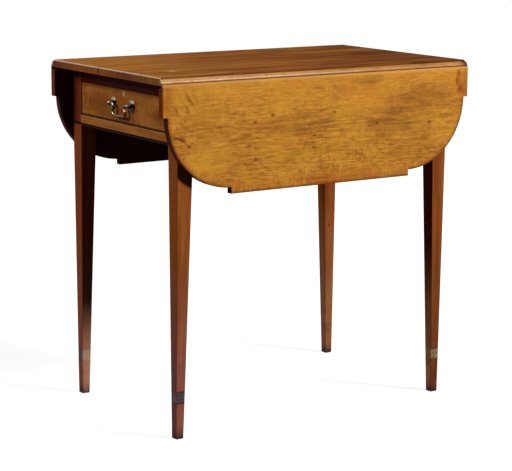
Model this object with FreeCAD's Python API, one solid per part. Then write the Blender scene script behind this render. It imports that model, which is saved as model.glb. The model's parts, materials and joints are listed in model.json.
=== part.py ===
# Pembroke table: two drop leaves on rule joints, a frieze drawer at one end and swinging leaf brackets.
# Millimetres. The origin is on the floor under the middle of the top, +Z is up, the drawer end faces -Y
# and the leaves hang at -X and +X.
import FreeCAD
import Part
import math
import os

V = FreeCAD.Vector
TOUCH = 0.01
X_AXIS = V(1, 0, 0)
Y_AXIS = V(0, 1, 0)
Z_AXIS = V(0, 0, 1)

# Top, leaves and rule joints
table_height = 715.0
top_length = 740.0
hinge_span = 432.0
board_thickness = 15.0
joint_step = 3.0
axis_height = 3.0
joint_gap = 0.5
top_end_rounding = 2.0
ear_width = 64.0
ear_step = 10.0
corner_radius = 143.0
tip_step = 12.5
leaf_rounding = 1.2

# Legs and cuffs
leg_square = 35.5
foot_square = 16.8
leg_end_inset = 42.0
leg_side_inset = 4.5
foot_side_inset = 13.2
leg_arris = 0.8
foot_chamfer = 1.2
cuff_bottom = 72.0
cuff_height = 25.0
cuff_depth = 1.6

# Frieze rails
frieze_height = 120.0
lower_rail_height = 21.5
lower_rail_width = 36.0
top_rail_height = 26.5
top_rail_width = 26.0
back_rail_thickness = 20.0
side_rail_thickness = 12.5
tenon_length = 18.0
tenon_thickness = 7.0
tenon_shoulder = 3.0
twin_tenon_pitch = 14.0
dovetail_height = 12.0
dovetail_root = 12.0
dovetail_flare = 2.5
string_rise = 2.2
string_height = 3.0
string_depth = 1.2

# Swinging leaf brackets
fly_thickness = 15.0
fly_rail_rise = 6.0
fly_gap = 0.4
knuckle_offset = 62.0
knuckle_count = 5
knuckle_gap = 0.3
bracket_end_gap = 4.0
bracket_tip_height = 48.0
bracket_curve_start = 60.0
fly_pin_radius = 2.0
fly_pin_play = 0.08
fly_screw_count = 3

# Drawer
drawer_back_gap = 76.0
drawer_side_gap = 1.5
drawer_top_gap = 2.6
drawer_bottom_gap = 2.0
drawer_run_gap = 0.3
front_thickness = 18.0
front_arris = 0.5
front_lap = 4.0
side_thickness = 9.0
side_drop = 5.0
drawer_bottom_thickness = 6.0
drawer_bottom_rise = 8.0
groove_depth = 4.0
tail_slope = 1.8
tail_share = 0.6
front_tail_count = 3
back_tail_count = 2
runner_width = 16.0
runner_height = 14.0
stop_length = 30.0
stop_width = 11.0
stop_pitch = 174.0
stop_height = 5.0
false_front_thickness = 6.0

# Handles
handle_span = 75.0
handle_drop = 30.2
bail_drop = 22.0
bail_half_width = 26.0
bail_wire = 2.3
bail_elbow = 5.0
bail_corner = 8.0
bail_swell = 4.0
bail_stand_off = 9.0
bail_pin_radius = 1.7
bail_pin_play = 0.08
bail_pin_end = 0.8
rose_radius = 12.5
rose_rim = 1.2
rose_dome = 3.0
rose_swell = 2.5
post_radius = 2.5
post_neck = 3.2
post_ball = 4.8
nut_square = 10.0
nut_thickness = 3.5
post_tail = 1.5

# Lock
lock_offset = 4.0
lock_width = 44.0
lock_height = 32.0
lock_depth = 8.0
lock_plate_width = 60.0
lock_plate_height = 28.0
lock_plate_thickness = 1.5
bolt_width = 14.0
bolt_thickness = 4.0
bolt_height = 17.0
bolt_throw = 6.0
bolt_play = 0.2
bolt_rest = 0.4
keyhole_drop = 7.0
keyhole_radius = 1.7
keyhole_slot = 1.5
keyhole_length = 5.0
escutcheon_rim = 1.6
escutcheon_depth = 2.0

# Table hinges
hinge_count = 3
hinge_pitch = 270.0
hinge_width = 34.0
hinge_plate = 2.0
hinge_reach = 36.0
hinge_pin_radius = 1.5
hinge_pin_play = 0.05
hinge_knuckle_gap = 0.3
hinge_pocket_gap = 0.4

# Screws
screw_shank = 1.6
screw_head = 3.2
screw_countersink = 1.7
hinge_screw_length = 10.0
top_screw_length = 36.0
top_screw_shank = 2.2
top_screw_head = 4.4
top_screw_countersink = 2.4
fly_screw_length = 24.0
lock_screw_length = 9.0
lock_screw_head = 2.6
lock_screw_countersink = 1.3
kicker_screw_pitch = 350.0
rail_screw_pitch = 190.0
glue_block_size = 16.0
glue_block_length = 50.0
glue_block_end_gap = 28.5
glue_block_count = 3

# Derived places
underside = table_height - board_thickness
axis_x = hinge_span / 2
axis_z = underside + axis_height
joint_radius = board_thickness - joint_step - axis_height
cove_radius = joint_radius + joint_gap
leaf_width = ear_width + corner_radius + tip_step
end_y = top_length / 2
leg_face_y = end_y - leg_end_inset
leg_inner_y = leg_face_y - leg_square
leg_face_x = axis_x - leg_side_inset
leg_inner_x = leg_face_x - leg_square
frieze_bottom = underside - frieze_height
opening_bottom = frieze_bottom + lower_rail_height
opening_top = underside - top_rail_height
frieze_middle = (frieze_bottom + underside) / 2
rail_back_y = leg_face_y - back_rail_thickness
front_back_y = -leg_face_y + front_thickness
drawer_back_y = rail_back_y - drawer_back_gap
drawer_half = leg_inner_x - drawer_side_gap
drawer_low = opening_bottom + drawer_run_gap
front_low = opening_bottom + drawer_bottom_gap
front_high = opening_top - drawer_top_gap
handle_height = front_high - handle_drop
fly_inner_x = leg_inner_x + side_rail_thickness + fly_gap
fly_outer_x = fly_inner_x + fly_thickness
knuckle_x = fly_inner_x + fly_thickness / 2
fly_low = frieze_bottom + fly_rail_rise
hinge_places = [hinge_pitch * (i - (hinge_count - 1) / 2) for i in range(hinge_count)]

nodes = {}


def add(name, *solids):
    nodes[name] = solids[0] if len(solids) == 1 else Part.makeCompound(solids)


def block(x_low, x_high, y_low, y_high, z_low, z_high):
    return Part.makeBox(x_high - x_low, y_high - y_low, z_high - z_low, V(x_low, y_low, z_low))


def prism(points, direction):
    solid = Part.Face(Part.makePolygon(points + [points[0]])).extrude(direction)
    return solid if solid.Volume > 0 else solid.reversed()


def line(start, end):
    return Part.LineSegment(start, end).toShape()


def arc(start, middle, end):
    return Part.Arc(start, middle, end).toShape()


def bend(centre, radius, start_angle, end_angle, place):
    # An arc in a plane, with place turning the two plane coordinates into a point.
    angles = (start_angle, (start_angle + end_angle) / 2, end_angle)
    points = [
        place(centre[0] + radius * math.cos(math.radians(a)), centre[1] + radius * math.sin(math.radians(a)))
        for a in angles
    ]
    return arc(*points)


def ogee(run, rise):
    # Turn and radius of two equal arcs that carry a line sideways by rise over a length of run.
    turn = 2 * math.atan(rise / run)
    return math.degrees(turn), run / math.sin(turn) / 2


def cut_all(shape, tools):
    for tool in tools:
        shape = shape.cut(tool)
    return shape


def mirrored(shape):
    return shape.mirror(V(0, 0, 0), X_AXIS)


def half_turn(shape):
    copy = shape.copy()
    copy.rotate(V(0, 0, 0), Z_AXIS, 180)
    return copy


def sided(name, shape, left):
    # One piece for each side: the right one as given and its left counterpart.
    add(name + "_right", shape)
    add(name + "_left", left(shape))


def screw(point, direction, length, shank, head, countersink):
    cone = Part.makeCone(head, shank, countersink, point, direction)
    start = point + direction * countersink
    return cone.fuse(Part.makeCylinder(shank, length - countersink, start, direction)).removeSplitter()


# Rule-jointed top
def top_board():
    def at(x, z):
        return V(x, -end_y, z)

    low_angle = -math.degrees(math.asin(axis_height / joint_radius))
    edge_x = axis_x + math.sqrt(joint_radius ** 2 - axis_height ** 2)
    shoulder = axis_z + joint_radius
    edges = [
        line(at(-axis_x, table_height), at(axis_x, table_height)),
        line(at(axis_x, table_height), at(axis_x, shoulder)),
        bend((axis_x, axis_z), joint_radius, 90, low_angle, at),
        line(at(edge_x, underside), at(-edge_x, underside)),
        bend((-axis_x, axis_z), joint_radius, 180 - low_angle, 90, at),
        line(at(-axis_x, shoulder), at(-axis_x, table_height)),
    ]
    board = Part.Face(Part.Wire(edges)).extrude(Y_AXIS * top_length)
    arrises = [
        e for e in board.Edges
        if abs(e.CenterOfMass.z - table_height) < TOUCH and abs(abs(e.CenterOfMass.y) - end_y) < TOUCH
    ]
    return board.makeFillet(top_end_rounding, arrises)


# Leaf, drawn raised beside the top and then swung down about its hinge line
def leaf_board():
    def at(x, y):
        return V(axis_x + x, y, underside)

    arc_y = end_y - ear_step
    centre_y = arc_y - corner_radius
    tip = ear_width + corner_radius
    edges = [
        line(at(joint_gap, -end_y), at(ear_width, -end_y)),
        line(at(ear_width, -end_y), at(ear_width, -arc_y)),
        bend((ear_width, -centre_y), corner_radius, -90, 0, at),
        line(at(tip, -centre_y), at(leaf_width, -centre_y)),
        line(at(leaf_width, -centre_y), at(leaf_width, centre_y)),
        line(at(leaf_width, centre_y), at(tip, centre_y)),
        bend((ear_width, centre_y), corner_radius, 0, 90, at),
        line(at(ear_width, arc_y), at(ear_width, end_y)),
        line(at(ear_width, end_y), at(joint_gap, end_y)),
        line(at(joint_gap, end_y), at(joint_gap, -end_y)),
    ]
    board = Part.Face(Part.Wire(edges)).extrude(Z_AXIS * board_thickness)
    inner_x = axis_x + joint_gap
    arrises = [
        e for e in board.Edges
        if e.BoundBox.ZLength < TOUCH and e.CenterOfMass.x > inner_x + TOUCH
    ]
    board = board.makeFillet(leaf_rounding, arrises)
    cove = Part.makeCylinder(cove_radius, top_length, V(axis_x, -end_y, axis_z), Y_AXIS)
    relief = block(axis_x, axis_x + cove_radius, -end_y, end_y, underside, axis_z)
    return board.cut(cove).cut(relief)


def swung_down(shape):
    copy = shape.copy()
    copy.rotate(V(axis_x, 0, axis_z), Y_AXIS, 90)
    return copy


# Table hinges, drawn with the leaf raised: a short plate under the top and a long one under the leaf
def hinge_pieces(y):
    half = hinge_width / 2
    third = hinge_width / 3
    barrel_start = V(axis_x, y - half, axis_z)
    barrel = Part.makeCylinder(axis_height, hinge_width, barrel_start, Y_AXIS)
    bore = Part.makeCylinder(hinge_pin_radius, hinge_width, barrel_start, Y_AXIS)
    loose_bore = Part.makeCylinder(hinge_pin_radius + hinge_pin_play, hinge_width, barrel_start, Y_AXIS)
    plate_top = underside + hinge_plate
    side = axis_height + hinge_knuckle_gap
    top_low = axis_x - axis_height - hinge_reach
    leaf_high = axis_x + cove_radius + hinge_reach
    middle = block(axis_x - side, axis_x + side, y - third / 2, y + third / 2, underside, axis_z + side)
    wider = third / 2 + hinge_knuckle_gap
    middle_slot = block(axis_x - side, axis_x + side, y - wider, y + wider, underside, axis_z + side)
    top_plate = block(top_low, axis_x, y - half, y + half, underside, plate_top)
    top_plate = top_plate.fuse(barrel).cut(middle_slot).cut(bore).removeSplitter()
    tongue = block(axis_x, axis_x + side, y - third / 2, y + third / 2, underside, plate_top)
    leaf_plate = block(axis_x + side, leaf_high, y - half, y + half, underside, plate_top)
    leaf_plate = leaf_plate.fuse([barrel.common(middle), tongue]).cut(loose_bore).removeSplitter()
    pin = Part.makeCylinder(hinge_pin_radius, hinge_width, barrel_start, Y_AXIS)
    return top_plate, leaf_plate, pin


def hinge_screws(x_first, x_second, y):
    return [
        screw(V(x, y + side * hinge_width / 4, underside), Z_AXIS, hinge_screw_length,
              screw_shank, screw_head, screw_countersink)
        for x, side in ((x_first, -1), (x_second, 1))
    ]


def hinge_pocket(y):
    # Room in the top for the plates, the barrel and the long plate's swing.
    half = hinge_width / 2
    wide = half + hinge_pocket_gap
    side = axis_height + hinge_pocket_gap
    start = V(axis_x, y - wide, axis_z)
    gouge = Part.makeCylinder(side, 2 * wide, start, Y_AXIS)
    slot = block(axis_x - side, axis_x + side, y - wide, y + wide, underside, axis_z)
    seat = block(axis_x - axis_height - hinge_reach, axis_x, y - half, y + half, underside,
                 underside + hinge_plate)
    sweep = block(axis_x, axis_x + cove_radius, y - wide, y + wide, underside,
                  underside + hinge_plate + hinge_pocket_gap)
    return gouge.fuse([slot, seat, sweep])


# Tapered leg at one corner, with its inlaid cuff
def leg_shaft(side, end, inset):
    # The taper seen from the end of the table, crossed with the taper seen from its side.
    foot_x = axis_x - foot_side_inset
    end_view = [(foot_x - foot_square + inset, 0), (foot_x - inset, 0),
                (leg_face_x - inset, frieze_bottom), (leg_inner_x + inset, frieze_bottom)]
    side_view = [(leg_face_y - foot_square + inset, 0), (leg_face_y - inset, 0),
                 (leg_face_y - inset, frieze_bottom), (leg_inner_y + inset, frieze_bottom)]
    across = prism([V(side * x, -end_y, z) for x, z in end_view], Y_AXIS * top_length)
    along = prism([V(-axis_x, end * y, z) for y, z in side_view], X_AXIS * hinge_span)
    return across.common(along)


def leg_and_cuff(side, end):
    shaft = leg_shaft(side, end, 0)
    floor_edges = [e for e in shaft.Edges if e.BoundBox.ZMax < TOUCH]
    shaft = shaft.makeChamfer(foot_chamfer, floor_edges)
    long_edges = [e for e in shaft.Edges if e.BoundBox.ZLength > frieze_bottom / 2]
    shaft = shaft.makeFillet(leg_arris, long_edges)
    cuff_top = cuff_bottom + cuff_height
    slab = block(-axis_x, axis_x, -end_y, end_y, cuff_bottom, cuff_top)
    cuff = shaft.common(slab).cut(leg_shaft(side, end, cuff_depth))
    x_low, x_high = sorted((side * leg_inner_x, side * leg_face_x))
    y_low, y_high = sorted((end * leg_inner_y, end * leg_face_y))
    stile = block(x_low, x_high, y_low, y_high, frieze_bottom, underside)
    return shaft.fuse(stile).removeSplitter().cut(cuff), cuff


# Frieze rails with their tenons and dovetails
def drawer_top_rail():
    back_y = -leg_face_y + top_rail_width
    rail = block(-leg_inner_x, leg_inner_x, -leg_face_y, back_y, opening_top, underside)
    middle_y = -leg_face_y + top_rail_width / 2
    root = dovetail_root / 2
    tip = root + dovetail_flare
    tails = []
    for side in (-1, 1):
        inner = side * leg_inner_x
        outer = side * (leg_inner_x + tenon_length)
        corners = [(inner, -root), (outer, -tip), (outer, tip), (inner, root)]
        points = [V(x, middle_y + y, underside - dovetail_height) for x, y in corners]
        tails.append(prism(points, Z_AXIS * dovetail_height))
    return rail.fuse(tails).removeSplitter()


def drawer_lower_rail():
    back_y = -leg_face_y + lower_rail_width
    rail = block(-leg_inner_x, leg_inner_x, -leg_face_y, back_y, frieze_bottom, opening_bottom)
    reach = leg_inner_x + tenon_length
    tenons = []
    for side in (-1, 1):
        y = -leg_face_y + (lower_rail_width + side * twin_tenon_pitch) / 2
        tenons.append(block(-reach, reach, y - tenon_thickness / 2, y + tenon_thickness / 2,
                            frieze_bottom + tenon_shoulder, opening_bottom - tenon_shoulder))
    return rail.fuse(tenons).removeSplitter()


def back_rail():
    rail = block(-leg_inner_x, leg_inner_x, rail_back_y, leg_face_y, frieze_bottom, underside)
    reach = leg_inner_x + tenon_length
    tenon_y = rail_back_y + tenon_shoulder
    tenon = block(-reach, reach, tenon_y, tenon_y + tenon_thickness,
                  opening_bottom, frieze_middle - tenon_shoulder)
    return rail.fuse(tenon).removeSplitter()


def side_rail():
    rail = block(leg_inner_x, leg_inner_x + side_rail_thickness, -leg_inner_y, leg_inner_y,
                 frieze_bottom, underside)
    reach = leg_inner_y + tenon_length
    tenon_x = leg_inner_x + (side_rail_thickness - tenon_thickness) / 2
    tenon = block(tenon_x, tenon_x + tenon_thickness, -reach, reach,
                  frieze_middle + tenon_shoulder, opening_top - tenon_shoulder)
    return rail.fuse(tenon).removeSplitter()


# Swinging bracket and the fixed rail that carries it, joined by a wooden knuckle on a steel pin
def knuckle_levels():
    pitch = (underside - fly_low) / knuckle_count
    return [(fly_low + pitch * i, fly_low + pitch * (i + 1)) for i in range(knuckle_count)]


def knuckle_barrel(radius, z_low, z_high):
    return Part.makeCylinder(radius, z_high - z_low, V(knuckle_x, knuckle_offset, z_low))


def knuckle_bevel(towards):
    # Takes back the outer corner beside the knuckle, so that the bracket can swing out square.
    wide = fly_thickness
    corners = [(-knuckle_gap, 0), (wide, 0), (wide, towards * (wide + knuckle_gap))]
    points = [V(knuckle_x + x, knuckle_offset + y, fly_low) for x, y in corners]
    return prism(points, Z_AXIS * (underside - fly_low))


def fly_rail_and_bracket():
    radius = fly_thickness / 2
    bracket_end = leg_inner_y - bracket_end_gap
    rail = block(fly_inner_x, fly_outer_x, -leg_inner_y, knuckle_offset, fly_low, underside)
    rail = rail.cut(knuckle_bevel(-1))
    bracket = bracket_blank(bracket_end).cut(knuckle_bevel(1))
    for index, (z_low, z_high) in enumerate(knuckle_levels()):
        if index % 2 == 0:
            rail = rail.fuse(knuckle_barrel(radius, z_low, z_high))
            room = knuckle_barrel(radius + knuckle_gap, z_low - knuckle_gap, z_high + knuckle_gap)
            bracket = bracket.cut(room)
        else:
            rail = rail.cut(knuckle_barrel(radius + knuckle_gap, z_low, z_high))
            bracket = bracket.fuse(knuckle_barrel(radius, z_low + knuckle_gap, z_high - knuckle_gap))
    pin_start = V(knuckle_x, knuckle_offset, fly_low)
    pin = Part.makeCylinder(fly_pin_radius, underside - fly_low, pin_start, Z_AXIS)
    loose = Part.makeCylinder(fly_pin_radius + fly_pin_play, underside - fly_low, pin_start, Z_AXIS)
    return rail.cut(pin).removeSplitter(), bracket.cut(loose).removeSplitter(), pin


def bracket_blank(bracket_end):
    # The lower edge sweeps up in an ogee to a slim tip.
    def at(y, z):
        return V(fly_inner_x, y, z)

    top = underside - fly_gap
    start_y = knuckle_offset + bracket_curve_start
    tip_z = top - bracket_tip_height
    turn, radius = ogee(bracket_end - start_y, tip_z - fly_low)
    edges = [
        line(at(knuckle_offset, top), at(knuckle_offset, fly_low)),
        line(at(knuckle_offset, fly_low), at(start_y, fly_low)),
        bend((start_y, fly_low + radius), radius, -90, turn - 90, at),
        bend((bracket_end, tip_z - radius), radius, 90 + turn, 90, at),
        line(at(bracket_end, tip_z), at(bracket_end, top)),
        line(at(bracket_end, top), at(knuckle_offset, top)),
    ]
    return Part.Face(Part.Wire(edges)).extrude(X_AXIS * fly_thickness)


def fly_screws():
    start_y = -leg_inner_y
    pitch = (knuckle_offset - start_y) / (fly_screw_count + 1)
    middle_z = (fly_low + underside) / 2
    return [
        screw(V(fly_outer_x, start_y + pitch * (i + 1), middle_z), -X_AXIS, fly_screw_length,
              screw_shank, screw_head, screw_countersink)
        for i in range(fly_screw_count)
    ]


# Drawer box: lapped dovetails at the front, through dovetails at the back
def tails(x_low, x_high, y_root, y_tip, z_low, z_high, count):
    pitch = (z_high - z_low) / count
    narrow = pitch * tail_share / 2
    wide = narrow + tail_slope
    shapes = []
    for i in range(count):
        middle = z_low + pitch * i + pitch / 2
        corners = [(y_root, -narrow), (y_tip, -wide), (y_tip, wide), (y_root, narrow)]
        points = [V(x_low, y, middle + z) for y, z in corners]
        shapes.append(prism(points, X_AXIS * (x_high - x_low)))
    return shapes


def drawer_box():
    side_high = front_high - side_drop
    inner = drawer_half - side_thickness
    back_inner = drawer_back_y - side_thickness
    lap_y = -leg_face_y + front_lap
    floor_low = drawer_low + drawer_bottom_rise
    floor_high = floor_low + drawer_bottom_thickness
    bottom = block(-inner - groove_depth, inner + groove_depth, front_back_y - groove_depth, drawer_back_y,
                   floor_low, floor_high)
    side = block(inner, drawer_half, front_back_y, back_inner, drawer_low, side_high)
    heel = block(inner, drawer_half, back_inner, drawer_back_y, drawer_low, floor_high)
    joints = tails(inner, drawer_half, front_back_y, lap_y, drawer_low, side_high, front_tail_count)
    joints += tails(inner, drawer_half, back_inner, drawer_back_y, floor_high, side_high, back_tail_count)
    right = side.fuse([heel] + joints).removeSplitter()
    left = mirrored(right)
    front = block(-drawer_half, drawer_half, -leg_face_y, front_back_y, front_low, front_high)
    front = front.makeFillet(front_arris, [e for e in front.Edges if e.BoundBox.YMax < TOUCH - leg_face_y])
    back = block(-drawer_half, drawer_half, back_inner, drawer_back_y, floor_high, side_high)
    front = cut_all(front, (right, left, bottom))
    back = cut_all(back, (right, left))
    return front, right.cut(bottom), left.cut(bottom), back, bottom


# Swan-neck handle, drawn on the drawer end
def handle_hole(side):
    return V(side * handle_span / 2, -leg_face_y, handle_height)


def handle_rose(centre):
    def at(radius, out):
        return V(centre.x + radius, centre.y - out, centre.z)

    middle = (rose_radius + post_neck) / 2
    edges = [
        line(at(post_radius, 0), at(rose_radius, 0)),
        line(at(rose_radius, 0), at(rose_radius, rose_rim)),
        arc(at(rose_radius, rose_rim), at(middle, rose_swell), at(post_neck, rose_dome)),
        line(at(post_neck, rose_dome), at(post_radius, rose_dome)),
        line(at(post_radius, rose_dome), at(post_radius, 0)),
    ]
    return Part.Face(Part.Wire(edges)).revolve(centre, Y_AXIS, 360)


def handle_post(centre, depth):
    tail = Part.makeCylinder(post_radius, depth + nut_thickness + post_tail + rose_dome,
                             centre - Y_AXIS * rose_dome, Y_AXIS)
    eye = centre - Y_AXIS * bail_stand_off
    neck = Part.makeCylinder(post_neck, bail_stand_off - rose_dome, eye, Y_AXIS)
    ball = Part.makeSphere(post_ball, eye)
    keep = block(centre.x - rose_radius, centre.x + rose_radius, centre.y - 2 * bail_stand_off,
                 centre.y - rose_dome, centre.z - rose_radius, centre.z + rose_radius)
    bore_start = eye - X_AXIS * rose_radius
    bore = Part.makeCylinder(bail_pin_radius + bail_pin_play, 2 * rose_radius, bore_start, X_AXIS)
    return ball.common(keep).fuse([neck, tail]).cut(bore).removeSplitter()


def handle_nut(centre, depth):
    half = nut_square / 2
    face = centre.y + depth
    nut = block(centre.x - half, centre.x + half, face, face + nut_thickness,
                centre.z - half, centre.z + half)
    return nut.cut(Part.makeCylinder(post_radius, nut_thickness, V(centre.x, face, centre.z), Y_AXIS))


def handle_bail():
    plane_y = -leg_face_y - bail_stand_off

    def at(x, z):
        return V(x, plane_y, handle_height + z)

    pin_end = handle_span / 2 + post_ball + bail_pin_end
    wire_end = handle_span / 2 - post_ball - bail_pin_end
    neck_x = bail_half_width - bail_swell
    neck_drop = bail_drop - bail_elbow - bail_corner
    turn, swan = ogee(neck_drop, bail_swell)
    corner_z = bail_corner - bail_drop
    half = [
        line(at(wire_end, 0), at(neck_x + bail_elbow, 0)),
        bend((neck_x + bail_elbow, -bail_elbow), bail_elbow, 90, 180, at),
        bend((neck_x + swan, -bail_elbow), swan, 180, 180 + turn, at),
        bend((bail_half_width - swan, corner_z), swan, turn, 0, at),
        bend((bail_half_width - bail_corner, corner_z), bail_corner, 0, -90, at),
        line(at(bail_half_width - bail_corner, -bail_drop), at(0, -bail_drop)),
    ]
    ring = Part.Wire(Part.makeCircle(bail_wire, at(wire_end, 0), X_AXIS))
    sweep = Part.Wire(half).makePipeShell([ring], True, False)
    pin = Part.makeCylinder(bail_pin_radius, pin_end - wire_end, at(wire_end, 0), X_AXIS)
    right = sweep.fuse(pin)
    return right.fuse(mirrored(right)).removeSplitter()


def handle(depth):
    centres = [handle_hole(side) for side in (-1, 1)]
    holes = [Part.makeCylinder(post_radius, depth, c, Y_AXIS) for c in centres]
    roses = [handle_rose(c) for c in centres]
    posts = [handle_post(c, depth) for c in centres]
    nuts = [handle_nut(c, depth) for c in centres]
    return roses, posts, nuts, handle_bail(), holes


# Drawer lock behind a keyhole
def keyhole(grow, depth):
    centre = V(lock_offset, -leg_face_y, front_high - keyhole_drop)
    round_part = Part.makeCylinder(keyhole_radius + grow, depth, centre, Y_AXIS)
    slot = block(centre.x - keyhole_slot / 2 - grow, centre.x + keyhole_slot / 2 + grow, centre.y,
                 centre.y + depth, centre.z - keyhole_length - grow, centre.z)
    return round_part.fuse(slot).removeSplitter()


def lock_pieces():
    case_low = front_back_y - lock_depth
    case = block(lock_offset - lock_width / 2, lock_offset + lock_width / 2, case_low, front_back_y,
                 front_high - lock_height, front_high)
    plate = block(lock_offset - lock_plate_width / 2, lock_offset + lock_plate_width / 2,
                  front_back_y - lock_plate_thickness, front_back_y,
                  front_high - lock_plate_height, front_high)
    middle_y = front_back_y - lock_depth / 2
    slot = bolt_room(middle_y, bolt_play, front_high - bolt_rest - bolt_height, front_high)
    bolt = bolt_room(middle_y, 0, front_high - bolt_rest - bolt_height, front_high - bolt_rest)
    mortise = bolt_room(middle_y, 2 * bolt_play, opening_top, front_high + bolt_throw + bolt_play)
    key_depth = front_thickness - lock_depth / 2
    room = case.fuse(plate).removeSplitter()
    case = room.cut(slot).cut(keyhole(0, key_depth))
    screw_x = (lock_width + lock_plate_width) / 4
    screw_z = front_high - lock_plate_height / 2
    screws = [
        screw(V(lock_offset + side * screw_x, front_back_y, screw_z), -Y_AXIS, lock_screw_length,
              screw_shank, lock_screw_head, lock_screw_countersink)
        for side in (-1, 1)
    ]
    return cut_all(case, screws), bolt, screws, room, mortise


def bolt_room(middle_y, play, z_low, z_high):
    half_x = bolt_width / 2 + play
    half_y = bolt_thickness / 2 + play
    return block(lock_offset - half_x, lock_offset + half_x, middle_y - half_y, middle_y + half_y,
                 z_low, z_high)


# Small blocks and screws under the top
def glue_blocks():
    blocks = []
    reach = leg_inner_x - runner_width - glue_block_end_gap
    pitch = (2 * reach - glue_block_length) / (glue_block_count - 1)
    for i in range(glue_block_count):
        start = pitch * i - reach
        corners = [(0, 0), (-glue_block_size, 0), (0, -glue_block_size)]
        points = [V(start, rail_back_y + y, underside + z) for y, z in corners]
        blocks.append(prism(points, X_AXIS * glue_block_length))
    return blocks


def top_screws():
    kicker_x = leg_inner_x - runner_width / 2
    rail_y = -leg_face_y + top_rail_width / 2
    places = [(side * kicker_x, end * kicker_screw_pitch / 2) for side in (-1, 1) for end in (-1, 1)]
    places += [(side * rail_screw_pitch / 2, rail_y) for side in (-1, 1)]
    return [
        screw(V(x, y, opening_top), Z_AXIS, top_screw_length, top_screw_shank, top_screw_head,
              top_screw_countersink)
        for x, y in places
    ]


def build_frieze(screws, mortise):
    top_rail = cut_all(drawer_top_rail(), screws).cut(mortise)
    lower_rail = drawer_lower_rail()
    rear_rail = back_rail()
    right_rail = side_rail()
    left_rail = mirrored(right_rail)
    front_string = block(-leg_face_x, leg_face_x, -leg_face_y, -leg_face_y + string_depth,
                         frieze_bottom + string_rise, frieze_bottom + string_rise + string_height)
    back_string = half_turn(front_string)
    joinery = (drawer_top_rail(), lower_rail, rear_rail, right_rail, left_rail, front_string, back_string)
    for side, side_name in ((-1, "left"), (1, "right")):
        for end, end_name in ((-1, "front"), (1, "back")):
            leg, cuff = leg_and_cuff(side, end)
            add(f"leg_{end_name}_{side_name}", cut_all(leg, joinery))
            add(f"cuff_{end_name}_{side_name}", cuff)
    false_front = block(-drawer_half, drawer_half, leg_face_y - false_front_thickness, leg_face_y,
                        front_low, front_high)
    recess = block(-leg_inner_x, leg_inner_x, leg_face_y - false_front_thickness, leg_face_y,
                   opening_bottom, opening_top)
    add("drawer_top_rail", top_rail)
    add("drawer_lower_rail", lower_rail.cut(front_string))
    add("front_stringing", front_string)
    add("back_stringing", back_string)
    return rear_rail.cut(back_string).cut(recess), false_front, right_rail, left_rail


def build_back_handle(rear_rail, false_front):
    roses, posts, nuts, bail, holes = handle(back_rail_thickness)
    turned_holes = [half_turn(h) for h in holes]
    add("back_rail", cut_all(rear_rail, turned_holes))
    add("false_drawer_front", cut_all(false_front, turned_holes))
    add("back_handle_roses", *[half_turn(s) for s in roses])
    add("back_handle_posts", *[half_turn(s) for s in posts])
    add("back_handle_nuts", *[half_turn(s) for s in nuts])
    add("back_bail", half_turn(bail))


def build_fly_rails(right_rail, left_rail):
    rail, bracket, pin = fly_rail_and_bracket()
    screws = fly_screws()
    sided("fly_rail", cut_all(rail, screws), half_turn)
    sided("fly_bracket", bracket, half_turn)
    sided("fly_pin", pin, half_turn)
    add("fly_rail_screws", *screws, *[half_turn(s) for s in screws])
    add("side_rail_right", cut_all(right_rail, screws))
    add("side_rail_left", cut_all(left_rail, [half_turn(s) for s in screws]))


def build_drawer_run(screws):
    runner = block(leg_inner_x - runner_width, leg_inner_x, -leg_face_y + lower_rail_width, rail_back_y,
                   opening_bottom - runner_height, opening_bottom)
    kicker = block(leg_inner_x - runner_width, leg_inner_x, -leg_face_y + top_rail_width, rail_back_y,
                   opening_top, underside)
    sided("drawer_runner", runner, mirrored)
    add("drawer_kicker_right", cut_all(kicker, screws))
    add("drawer_kicker_left", cut_all(mirrored(kicker), screws))
    stop_y = front_back_y + drawer_run_gap
    stop = block(-stop_length / 2, stop_length / 2, stop_y, stop_y + stop_width,
                 opening_bottom, opening_bottom + stop_height)
    stops = [stop.translated(X_AXIS * side * stop_pitch / 2) for side in (-1, 1)]
    add("drawer_stops", *stops)
    add("glue_blocks", *glue_blocks())


def build_top_and_leaves(screws):
    top_plates = []
    leaf_plates = []
    pins = []
    top_fixings = []
    leaf_fixings = []
    leaf = leaf_board()
    board = cut_all(top_board(), screws)
    screw_reach = hinge_reach / 3
    for y in hinge_places:
        top_plate, leaf_plate, pin = hinge_pieces(y)
        top_x = axis_x - axis_height - screw_reach
        leaf_x = axis_x + cove_radius + screw_reach
        top_pair = hinge_screws(top_x, top_x - screw_reach, y)
        leaf_pair = hinge_screws(leaf_x, leaf_x + screw_reach, y)
        pocket = hinge_pocket(y)
        board = cut_all(board, [pocket, mirrored(pocket)] + top_pair + [mirrored(s) for s in top_pair])
        leaf = cut_all(leaf, [leaf_plate] + leaf_pair)
        top_plates.append(cut_all(top_plate, top_pair))
        leaf_plates.append(cut_all(leaf_plate, leaf_pair))
        pins.append(pin)
        top_fixings += top_pair
        leaf_fixings += leaf_pair
    add("table_top", board)
    sided("leaf", swung_down(leaf), mirrored)
    groups = (
        ("hinge_top_plates", top_plates),
        ("hinge_leaf_plates", [swung_down(s) for s in leaf_plates]),
        ("hinge_pins", pins),
        ("hinge_leaf_screws", [swung_down(s) for s in leaf_fixings]),
    )
    for name, solids in groups:
        sided(name, Part.makeCompound(solids), mirrored)
    add("hinge_top_screws", *top_fixings, *[mirrored(s) for s in top_fixings])


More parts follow.
